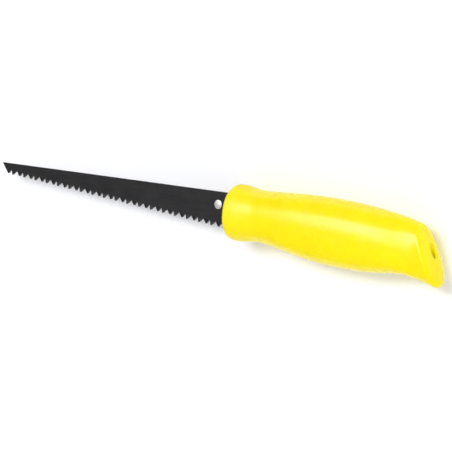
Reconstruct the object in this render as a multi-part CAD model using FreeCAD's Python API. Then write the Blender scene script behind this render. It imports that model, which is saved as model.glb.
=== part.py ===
import FreeCAD, Part
import math
import os

# A drywall jab saw lying on its side. +X runs from the blade's tip to the butt of the handle,
# +Y from the toothed edge to the spine, +Z straight up, at right angles to the blade.
# Everything is first drawn about the blade's middle plane, with X = 0 just behind the front of
# the handle, and then moved so that the origin is at the centre of the base.

# Blade, millimetres
BLADE_THICKNESS = 1.2
TIP_X = -158.1                # the sharp tip, on the spine
TIP_Y = 2.35
SPINE_ANGLE = 2.2             # degrees that the spine climbs towards the handle
TOOTH_COUNT = 39
TOOTH_PITCH = 3.85            # 6.6 teeth to the inch
TOOTH_DEPTH = 1.95             # from a tooth's tip to its root
GULLET_R = 0.5                # the rounded gap between two roots
TOOTH_SET = 0.5               # how far a tooth's tip leans to its side
TOOTH_RAKE = 0.62             # where the tip stands over its root, 1 is at the front end
LAST_TOOTH_X = -8.3           # the tooth nearest the handle
LAST_TOOTH_Y = -9.35
TOOTH_LINE_ANGLE = 2.6        # degrees that the row of points climbs towards the tip

# Tang, the blade's own end inside the handle
SHOULDER_X = 3.0              # the full width ends here, just inside the handle
TANG_START_X = 9.0
TANG_END_X = 84.0
TANG_HALF_WIDTH = 5.5
TANG_HOLE_R = 2.5
TANG_HOLES_X = (28.0, 56.0)

# Rivet in front of the handle
RIVET_X = -16.4
RIVET_Y = 1.7
RIVET_SHANK_R = 1.4
RIVET_HEAD_R = 2.2
RIVET_RIM_HEIGHT = 0.25       # the straight edge under the head's dome
RIVET_DOME_HEIGHT = 0.35

# Handle: each station is a closed oval between a point on the spine side and a point on the
# tooth side, with its own half thickness. The stations lean back more and more at the pommel.
STATIONS = (
    ((-5.4, 12.7), (-5.4, -13.2), 11.9),     # front rim
    ((-1.0, 13.1), (-1.0, -13.6), 12.15),    # collar
    ((3.5, 12.4), (3.5, -13.2), 11.9),
    ((9.0, 12.1), (9.0, -12.5), 11.3),       # waist
    ((18.0, 12.7), (18.0, -12.8), 11.4),
    ((36.0, 14.1), (38.0, -15.6), 12.0),
    ((57.0, 14.7), (59.0, -16.8), 12.15),    # belly
    ((75.0, 14.0), (77.0, -16.2), 11.8),
    ((88.0, 12.8), (92.0, -14.3), 9.9),
    ((97.0, 11.6), (102.0, -14.9), 7.4),     # neck of the pommel
    ((105.0, 9.6), (113.5, -17.1), 7.5),     # ridge round the butt
    ((112.0, 7.2), (124.0, -19.5), 8.3),     # past the butt, where the loft is cut off
)
OVAL_POWER = 2.25             # 2 is an ellipse, more is squarer
OVAL_POINTS = 16
FRONT_RIM_R = 2.2
FRONT_ZONE = (-6.0, -3.0)     # the stretch of X that holds the front rim's edge
RIDGE_R = 1.6
RIDGE_ZONE = (100.0, 120.0)   # the stretch of X that holds the ridge's edges
RIM_MIN_THICKNESS = 5.0       # a rim goes round the handle, a seam of the loft lies flat
SIDE_FLAT_Z = 12.1            # both sides are flat where they would stand further out than this

# Butt: a barrel-shaped face that leans forwards towards the spine
BUTT_TOP = (103.4, 9.6)
BUTT_HEEL = (115.4, -13.0)
BUTT_BULGE = 1.4              # how far the face stands beyond the line between those two
BUTT_CROSS_R = 13.8           # its curve across the handle

# Hanging hole, straight through the pommel along Y
HANG_HOLE_X = 109.9
HANG_HOLE_R = 1.5
HANG_HOLE_EDGE_R = 0.5        # its two mouths are rounded

MARGIN = 20.0                 # how far a cutting shape reaches past what it cuts
SMALL = 1e-6


def vec(x, y, z=0.0):
    return FreeCAD.Vector(x, y, z)


def line(start, end):
    return Part.LineSegment(start, end).toShape()


def polygon_face(points):
    return Part.Face(Part.makePolygon(points + [points[0]]))


def on_tooth_line(along, depth=0.0):
    """A point of the blade's middle plane, so far forwards of the last tooth's tip, and so deep."""
    angle = math.radians(TOOTH_LINE_ANGLE)
    return vec(LAST_TOOTH_X - along * math.cos(angle) + depth * math.sin(angle),
               LAST_TOOTH_Y + along * math.sin(angle) + depth * math.cos(angle))


def tooth_corners(index):
    """The rear root, front root and tip of a tooth, counted from the handle."""
    tip = index * TOOTH_PITCH
    root_length = TOOTH_PITCH - 2 * GULLET_R
    rear = tip - root_length * TOOTH_RAKE
    return (on_tooth_line(rear, TOOTH_DEPTH), on_tooth_line(rear + root_length, TOOTH_DEPTH),
            on_tooth_line(tip))


def tooth(index):
    """One tooth: a flat triangle whose point is bent to one side or the other."""
    half = BLADE_THICKNESS / 2
    lean = TOOTH_SET if index % 2 else -TOOTH_SET
    corners = tooth_corners(index)
    leans = (0, 0, lean)
    low = [vec(p.x, p.y, s - half) for p, s in zip(corners, leans)]
    high = [vec(p.x, p.y, s + half) for p, s in zip(corners, leans)]
    faces = [polygon_face(low), polygon_face(high)]
    for a, b in ((0, 1), (1, 2), (2, 0)):
        faces.append(polygon_face([low[a], low[b], high[b], high[a]]))
    return Part.makeSolid(Part.makeShell(faces))


def gullet(index):
    """The cutter for the half-round gap on the handle side of a tooth."""
    rear = tooth_corners(index)[0]
    front = tooth_corners(index - 1)[1]
    middle = (rear + front) * 0.5
    return through_hole(middle.x, middle.y, GULLET_R)


def spine_y(x):
    return TIP_Y + (x - TIP_X) * math.tan(math.radians(SPINE_ANGLE))


def blade_plate():
    """The blade and its tang as one flat plate, down to the line of the teeth's roots."""
    foremost_root = tooth_corners(TOOTH_COUNT - 1)[1]
    last_root = tooth_corners(0)[0]
    outline = [vec(TIP_X, TIP_Y), vec(SHOULDER_X, spine_y(SHOULDER_X)),
               vec(TANG_START_X, TANG_HALF_WIDTH), vec(TANG_END_X, TANG_HALF_WIDTH),
               vec(TANG_END_X, -TANG_HALF_WIDTH), vec(TANG_START_X, -TANG_HALF_WIDTH),
               vec(SHOULDER_X, last_root.y), last_root, foremost_root]
    plate = polygon_face(outline).extrude(vec(0, 0, BLADE_THICKNESS))
    plate.translate(vec(0, 0, -BLADE_THICKNESS / 2))
    return plate


def through_hole(x, y, radius):
    return Part.makeCylinder(radius, 2 * MARGIN, vec(x, y, -MARGIN))


def saw_blade():
    """The toothed blade and its tang, with two holes that key it into the handle."""
    blade = blade_plate().multiFuse([tooth(i) for i in range(TOOTH_COUNT)])
    holes = [through_hole(x, 0, TANG_HOLE_R) for x in TANG_HOLES_X]
    holes.append(through_hole(RIVET_X, RIVET_Y, RIVET_SHANK_R))
    gullets = [gullet(i) for i in range(1, TOOTH_COUNT)]
    return blade.cut(Part.makeCompound(holes + gullets)).removeSplitter()


def rivet_head():
    """A low dome that stands on the blade's upper face, on the Z axis."""
    base = BLADE_THICKNESS / 2
    rim = base + RIVET_RIM_HEIGHT
    top = rim + RIVET_DOME_HEIGHT
    dome_r = (RIVET_HEAD_R ** 2 + RIVET_DOME_HEIGHT ** 2) / (2 * RIVET_DOME_HEIGHT)
    halfway = RIVET_HEAD_R / 2
    dome = Part.Arc(vec(RIVET_HEAD_R, 0, rim),
                    vec(halfway, 0, top - dome_r + math.sqrt(dome_r ** 2 - halfway ** 2)),
                    vec(0, 0, top)).toShape()
    edges = [line(vec(0, 0, base), vec(RIVET_HEAD_R, 0, base)),
             line(vec(RIVET_HEAD_R, 0, base), vec(RIVET_HEAD_R, 0, rim)),
             dome, line(vec(0, 0, top), vec(0, 0, base))]
    return Part.Face(Part.Wire(edges)).revolve(vec(0, 0), vec(0, 0, 1), 360)


def blade_rivet():
    """A solid rivet with the same low head on both faces of the blade."""
    shank = Part.makeCylinder(RIVET_SHANK_R, BLADE_THICKNESS, vec(0, 0, -BLADE_THICKNESS / 2))
    upper_head = rivet_head()
    lower_head = upper_head.mirror(vec(0, 0), vec(0, 0, 1))
    rivet = shank.multiFuse([upper_head, lower_head]).removeSplitter()
    rivet.translate(vec(RIVET_X, RIVET_Y))
    return rivet


def signed_power(value, power):
    return math.copysign(abs(value) ** power, value)


def station_wire(spine_side, tooth_side, half_thickness):
    """A closed oval in the plane through its two profile points and the Z direction."""
    middle = (vec(*spine_side) + vec(*tooth_side)) * 0.5
    reach = vec(*spine_side) - middle
    points = []
    for i in range(OVAL_POINTS):
        turn = 2 * math.pi * i / OVAL_POINTS
        up = signed_power(math.cos(turn), 2 / OVAL_POWER)
        out = signed_power(math.sin(turn), 2 / OVAL_POWER)
        points.append(middle + reach * up + vec(0, 0, half_thickness * out))
    curve = Part.BSplineCurve()
    curve.interpolate(points, PeriodicFlag=True)
    return Part.Wire([curve.toShape()])


def beyond_butt():
    """The space behind the butt's face: a block with a barrel taken out of it."""
    top, heel = vec(*BUTT_TOP), vec(*BUTT_HEEL)
    half_span = (heel - top).Length / 2
    along = (heel - top).normalize()
    out = vec(-along.y, along.x)
    crown = (top + heel) * 0.5 + out * BUTT_BULGE
    profile_r = (half_span ** 2 + BUTT_BULGE ** 2) / (2 * BUTT_BULGE)
    reach = half_span + MARGIN
    drop = profile_r - math.sqrt(profile_r ** 2 - reach ** 2)
    axis_point = crown - out * BUTT_CROSS_R
    corners = [crown - along * reach - out * drop, crown + along * reach - out * drop,
               axis_point + along * reach, axis_point - along * reach]
    edges = [Part.Arc(corners[0], crown, corners[1]).toShape(), line(corners[1], corners[2]),
             line(corners[2], corners[3]), line(corners[3], corners[0])]
    barrel = Part.Face(Part.Wire(edges)).revolve(axis_point, along, 360)
    depth = BUTT_CROSS_R + MARGIN
    block = polygon_face([corners[3], corners[2], corners[2] + out * depth,
                          corners[3] + out * depth]).extrude(vec(0, 0, 2 * MARGIN))
    block.translate(vec(0, 0, -MARGIN))
    return block.cut(barrel)


def rim_edges(shape, zone):
    """The edges that go round the handle within a stretch of X."""
    boxes = [(edge, edge.BoundBox) for edge in shape.Edges]
    return [edge for edge, box in boxes
            if box.XMin > zone[0] and box.XMax < zone[1] and box.ZLength > RIM_MIN_THICKNESS]


def handle_body():
    """The whole moulding, with rounded rims, and flat on the sides so that it lies still."""
    body = Part.makeLoft([station_wire(*station) for station in STATIONS], True)
    body = body.cut(beyond_butt())
    body = body.makeFillet(FRONT_RIM_R, rim_edges(body, FRONT_ZONE))
    body = body.makeFillet(RIDGE_R, rim_edges(body, RIDGE_ZONE))
    length = STATIONS[-1][1][0] - STATIONS[0][0][0] + 2 * MARGIN
    between_flats = Part.makeBox(length, 4 * MARGIN, 2 * SIDE_FLAT_Z,
                                 vec(STATIONS[0][0][0] - MARGIN, -2 * MARGIN, -SIDE_FLAT_Z))
    return body.common(between_flats)


def with_hanging_hole(body):
    """The moulding with the hole bored through it and both of the hole's mouths rounded."""
    drill = Part.makeCylinder(HANG_HOLE_R, 2 * MARGIN, vec(HANG_HOLE_X, MARGIN), vec(0, -1, 0))
    bored = body.cut(drill)
    walls = [face for face in bored.Faces if face.Surface.TypeId == "Part::GeomCylinder"
             and abs(face.Surface.Radius - HANG_HOLE_R) < SMALL]
    mouths = [edge for wall in walls for edge in wall.Edges if edge.Curve.TypeId != "Part::GeomLine"]
    return bored.makeFillet(HANG_HOLE_EDGE_R, mouths)


def handle(blade):
    """The moulding with the tang's own shape left in it, so that it fills the tang's holes."""
    return with_hanging_hole(handle_body()).cut(blade)


def main():
    os.makedirs("parts", exist_ok=True)
    blade = saw_blade()
    nodes = {"saw_blade": blade, "blade_rivet": blade_rivet(), "handle": handle(blade)}
    box = Part.makeCompound(list(nodes.values())).optimalBoundingBox(True, False)
    to_base_centre = vec(-box.Center.x, -box.Center.y, -box.ZMin)
    for name, shape in nodes.items():
        shape.translate(to_base_centre)
        shape.exportStep("parts/" + name + ".step")
        print(name, "valid", shape.isValid(), "solids", len(shape.Solids), "mm3", round(shape.Volume))
    hang_hole = vec(HANG_HOLE_X, 0) + to_base_centre
    print("size", box.XLength, box.YLength, box.ZLength, "moved by", to_base_centre)
    print("hanging hole at", hang_hole)


main()
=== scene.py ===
import math
import bpy
from mathutils import Matrix, Vector


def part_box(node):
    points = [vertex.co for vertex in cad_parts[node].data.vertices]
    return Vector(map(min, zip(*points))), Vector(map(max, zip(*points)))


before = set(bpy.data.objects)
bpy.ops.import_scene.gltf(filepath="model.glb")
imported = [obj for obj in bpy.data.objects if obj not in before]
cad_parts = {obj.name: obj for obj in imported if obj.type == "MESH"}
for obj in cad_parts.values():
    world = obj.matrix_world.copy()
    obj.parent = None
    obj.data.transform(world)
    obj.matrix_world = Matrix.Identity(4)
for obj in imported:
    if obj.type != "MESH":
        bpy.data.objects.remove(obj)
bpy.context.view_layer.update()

MM = 0.001
BLADE_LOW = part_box("saw_blade")[0]
HANDLE_LOW, HANDLE_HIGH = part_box("handle")

# The row of tooth points, for the wear on them
TOOTH_LINE_ANGLE = 2.6        # degrees that it climbs towards the tip
LAST_TOOTH_X = 12.7 * MM      # the tooth nearest the handle, which is the lowest of all
WEAR_START = 0.1 * MM         # full at this height over the points, gone at the next
WEAR_END = 1.0 * MM

# The duller collar, measured from the front of the handle
COLLAR_END = 9 * MM
COLLAR_FADE_END = 20 * MM
COLLAR_EXTRA_ROUGHNESS = 0.15

# Colours, linear
YELLOW = (0.93, 0.775, 0.003)
PALE_YELLOW = (0.96, 0.815, 0.004)
SPECK_YELLOW = (0.90, 0.72, 0.003)
COAT_BLACK = (0.010, 0.010, 0.010)
COAT_SOOT = (0.016, 0.016, 0.016)
COAT_STREAK = (0.026, 0.026, 0.026)
RUBBED_STEEL = (0.075, 0.075, 0.078)
RIVET_GREY = (0.58, 0.565, 0.53)
RIVET_BRIGHT = (0.66, 0.65, 0.625)
TABLE_WHITE = (0.845, 0.85, 0.88)
WHITE = (1.0, 1.0, 1.0)
COOL_WHITE = (0.86, 0.84, 1.0)

# Camera: a long lens, high over the butt, rolled so that the blade points to the left
CAMERA_AZIMUTH = 12.07        # degrees round from the butt towards the spine
CAMERA_ELEVATION = 50.0
CAMERA_ROLL = -94.6
CAMERA_DISTANCE = 1.6
CAMERA_LENS = 268.9
CAMERA_AIM = Vector((9.88, -6.66, 12.10)) * MM

# Studio
SKY_DIFFUSE = 0.43            # how bright the room is for matt surfaces, and in reflections
SKY_GLOSSY = 0.08
FLOOR_GLOW = 0.15             # the table is lit from below as well
FLOOR_SIZE = 4.0
# Each lamp's name, direction and distance from the middle of the handle, size across and along X,
# power, colour, and whether it is only seen in gloss or only lights matt surfaces
LAMPS = (
    ("overhead", (0.0, 0.36, 0.93), 1.3, (0.4, 0.9), 10.2, WHITE, False),
    ("panel", (-0.20, 0.25, 0.94), 1.2, (0.60, 0.50), 8.5, WHITE, True),
    ("strip", (-0.50, 0.27, 0.82), 1.0, (0.40, 0.30), 4.0, COOL_WHITE, True),
    ("fill", (0.15, -0.90, 0.42), 1.2, (0.6, 1.0), 4.2, WHITE, False),
    ("front", (0.90, 0.10, 0.42), 1.2, (0.6, 0.6), 3.0, WHITE, False),
)


def rotation(x_axis, y_axis, z_axis):
    return Matrix((x_axis, y_axis, z_axis)).transposed().to_4x4()


def make_camera():
    azimuth, elevation = math.radians(CAMERA_AZIMUTH), math.radians(CAMERA_ELEVATION)
    roll = math.radians(CAMERA_ROLL)
    back = Vector((math.cos(elevation) * math.cos(azimuth),
                   math.cos(elevation) * math.sin(azimuth), math.sin(elevation)))
    up = (Vector((0, 0, 1)) - back * back.z).normalized()
    right = up.cross(back)
    x_axis = right * math.cos(roll) + up * math.sin(roll)
    y_axis = up * math.cos(roll) - right * math.sin(roll)
    camera = bpy.data.objects.new("camera", bpy.data.cameras.new("camera"))
    camera.data.lens = CAMERA_LENS
    camera.matrix_world = (Matrix.Translation(CAMERA_AIM + back * CAMERA_DISTANCE)
                           @ rotation(x_axis, y_axis, back))
    bpy.context.scene.collection.objects.link(camera)
    bpy.context.scene.camera = camera


def make_world():
    """An even white room, dimmer in reflections than it is as a light."""
    world = bpy.data.worlds.new("studio")
    bpy.context.scene.world = world
    world.use_nodes = True
    tree = world.node_tree
    tree.nodes.clear()
    output = tree.nodes.new("ShaderNodeOutputWorld")
    mix = tree.nodes.new("ShaderNodeMixShader")
    path = tree.nodes.new("ShaderNodeLightPath")
    tree.links.new(path.outputs["Is Glossy Ray"], mix.inputs[0])
    for socket, strength in ((1, SKY_DIFFUSE), (2, SKY_GLOSSY)):
        background = tree.nodes.new("ShaderNodeBackground")
        background.inputs["Color"].default_value = (*WHITE, 1)
        background.inputs["Strength"].default_value = strength
        tree.links.new(background.outputs[0], mix.inputs[socket])
    tree.links.new(mix.outputs[0], output.inputs["Surface"])


def softbox(name, direction, distance, size, power, color, gloss_only):
    """A rectangular lamp that faces the middle of the handle."""
    light = bpy.data.lights.new(name, "AREA")
    light.shape = "RECTANGLE"
    light.size, light.size_y = size
    light.energy = power
    light.color = color
    lamp = bpy.data.objects.new(name, light)
    away = Vector(direction).normalized()
    target = (HANDLE_LOW + HANDLE_HIGH) / 2
    across = away.cross(Vector((1, 0, 0))).normalized()
    along = across.cross(away)
    lamp.matrix_world = (Matrix.Translation(target + away * distance)
                         @ rotation(across, -along, away))
    lamp.visible_glossy = gloss_only
    lamp.visible_diffuse = not gloss_only
    bpy.context.scene.collection.objects.link(lamp)


class Nodes:
    """A small helper that adds shader nodes to one material."""

    def __init__(self, name):
        self.material = bpy.data.materials.new(name)
        self.material.use_nodes = True
        self.tree = self.material.node_tree
        self.shader = self.tree.nodes["Principled BSDF"]
        self.place = self.add("ShaderNodeTexCoord").outputs["Object"]

    def add(self, kind, **settings):
        node = self.tree.nodes.new(kind)
        for key, value in settings.items():
            setattr(node, key, value)
        return node

    def link(self, output, node, socket):
        self.tree.links.new(output, node.inputs[socket])

    def set(self, **values):
        """Sets the shader's own sockets, Specular_IOR_Level standing for Specular IOR Level."""
        for key, value in values.items():
            self.shader.inputs[key.replace("_", " ")].default_value = value

    def noise(self, cell, detail=2.0, stretch=(1, 1, 1)):
        """Noise whose grains are about one cell across, in metres."""
        mapping = self.add("ShaderNodeMapping")
        mapping.inputs["Scale"].default_value = stretch
        self.link(self.place, mapping, "Vector")
        node = self.add("ShaderNodeTexNoise")
        node.inputs["Scale"].default_value = 1 / cell
        node.inputs["Detail"].default_value = detail
        self.link(mapping.outputs[0], node, "Vector")
        return node.outputs[0]

    def along(self, direction):
        """How far a place lies along a direction, from the frame's origin."""
        node = self.add("ShaderNodeVectorMath", operation="DOT_PRODUCT")
        node.inputs[1].default_value = direction
        self.link(self.place, node, 0)
        return node.outputs["Value"]

    def remap(self, value, start, end, low, high):
        """Turns start to end into low to high, and holds what lies beyond."""
        node = self.add("ShaderNodeMapRange")
        for socket, number in (("From Min", start), ("From Max", end), ("To Min", low), ("To Max", high)):
            node.inputs[socket].default_value = number
        self.link(value, node, "Value")
        return node.outputs[0]

    def math(self, operation, first, second):
        node = self.add("ShaderNodeMath", operation=operation)
        self.link(first, node, 0)
        self.link(second, node, 1)
        return node.outputs[0]

    def mix(self, factor, first, second):
        """Mixes two colours, of which the first may come from another node."""
        node = self.add("ShaderNodeMix", data_type="RGBA")
        self.link(factor, node, 0)
        if isinstance(first, tuple):
            node.inputs[6].default_value = (*first, 1)
        else:
            self.link(first, node, 6)
        node.inputs[7].default_value = (*second, 1)
        return node.outputs[2]

    def bump(self, height, distance, strength):
        node = self.add("ShaderNodeBump")
        node.inputs["Strength"].default_value = strength
        node.inputs["Distance"].default_value = distance
        self.link(height, node, "Height")
        return node.outputs[0]

    def finish(self, color, roughness, normal):
        self.link(color, self.shader, "Base Color")
        self.link(roughness, self.shader, "Roughness")
        self.link(normal, self.shader, "Normal")
        return self.material


def handle_plastic():
    """Glossy yellow plastic: slightly cloudy, a faint orange peel, hairline scuffs, a duller collar."""
    n = Nodes("handle_plastic")
    cloud = n.remap(n.noise(9 * MM, 3.0), 0.35, 0.65, 0.0, 1.0)
    color = n.mix(cloud, YELLOW, PALE_YELLOW)
    speck = n.remap(n.noise(0.5 * MM, 1.0), 0.66, 0.74, 0.0, 0.12)
    color = n.mix(speck, color, SPECK_YELLOW)
    scuff = n.remap(n.noise(1.2 * MM, 2.0, (0.06, 1.0, 1.0)), 0.66, 0.72, 0.0, 0.08)
    collar = n.remap(n.along((1, 0, 0)), HANDLE_LOW.x + COLLAR_END, HANDLE_LOW.x + COLLAR_FADE_END,
                     COLLAR_EXTRA_ROUGHNESS, 0.0)
    roughness = n.remap(n.noise(6 * MM, 3.0), 0.3, 0.7, 0.22, 0.32)
    roughness = n.math("ADD", n.math("ADD", roughness, scuff), collar)
    peel = n.bump(n.noise(1.6 * MM), 0.02 * MM, 0.18)
    n.set(Specular_IOR_Level=0.30, Subsurface_Weight=0.12, Subsurface_Radius=(1.0, 0.7, 0.1),
          Subsurface_Scale=4 * MM)
    return n.finish(color, roughness, peel)


def blade_steel():
    """Satin black coating with fine grain along the blade, rubbed thin at the points of the teeth."""
    n = Nodes("blade_steel")
    streak = n.noise(0.5 * MM, 3.0, (0.05, 1.0, 1.0))
    coat = n.mix(n.remap(n.noise(7 * MM, 3.0), 0.3, 0.7, 0.0, 1.0), COAT_BLACK, COAT_SOOT)
    coat = n.mix(n.remap(streak, 0.45, 0.75, 0.0, 0.5), coat, COAT_STREAK)
    slope = math.radians(TOOTH_LINE_ANGLE)
    points = LAST_TOOTH_X * math.sin(slope) + BLADE_LOW.y * math.cos(slope)
    height = n.along((math.sin(slope), math.cos(slope), 0))
    rubbed = n.math("MULTIPLY", n.remap(height, points + WEAR_START, points + WEAR_END, 0.7, 0.0),
                    n.remap(n.noise(0.8 * MM, 3.0), 0.4, 0.6, 0.2, 1.0))
    coat = n.mix(rubbed, coat, RUBBED_STEEL)
    roughness = n.remap(n.noise(1.0 * MM, 2.0, (0.1, 1.0, 1.0)), 0.3, 0.7, 0.44, 0.56)
    n.set(Specular_IOR_Level=0.24)
    return n.finish(coat, roughness, n.bump(streak, 0.01 * MM, 0.4))


def rivet_steel():
    """Bright rivet steel with a fine grain."""
    n = Nodes("rivet_steel")
    color = n.mix(n.remap(n.noise(0.9 * MM, 3.0), 0.3, 0.7, 0.0, 1.0), RIVET_GREY, RIVET_BRIGHT)
    roughness = n.remap(n.noise(0.3 * MM), 0.3, 0.7, 0.44, 0.56)
    n.set(Metallic=0.40)
    return n.finish(color, roughness, n.bump(n.noise(0.25 * MM), 0.01 * MM, 0.4))


def table_white():
    """The white table, lit from above and through itself."""
    n = Nodes("table_white")
    n.set(Base_Color=(*TABLE_WHITE, 1), Roughness=1.0, Specular_IOR_Level=0.0,
          Emission_Color=(*WHITE, 1), Emission_Strength=FLOOR_GLOW)
    return n.material


make_camera()
make_world()
bpy.context.scene.view_settings.view_transform = "Standard"
for lamp in LAMPS:
    softbox(*lamp)

bpy.ops.mesh.primitive_plane_add(size=FLOOR_SIZE)
floor = bpy.context.object
floor.name = "floor"
floor.data.materials.append(table_white())

materials = {"handle": handle_plastic(), "saw_blade": blade_steel(), "blade_rivet": rivet_steel()}
for name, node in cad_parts.items():
    node.data.materials.clear()
    node.data.materials.append(materials[name])
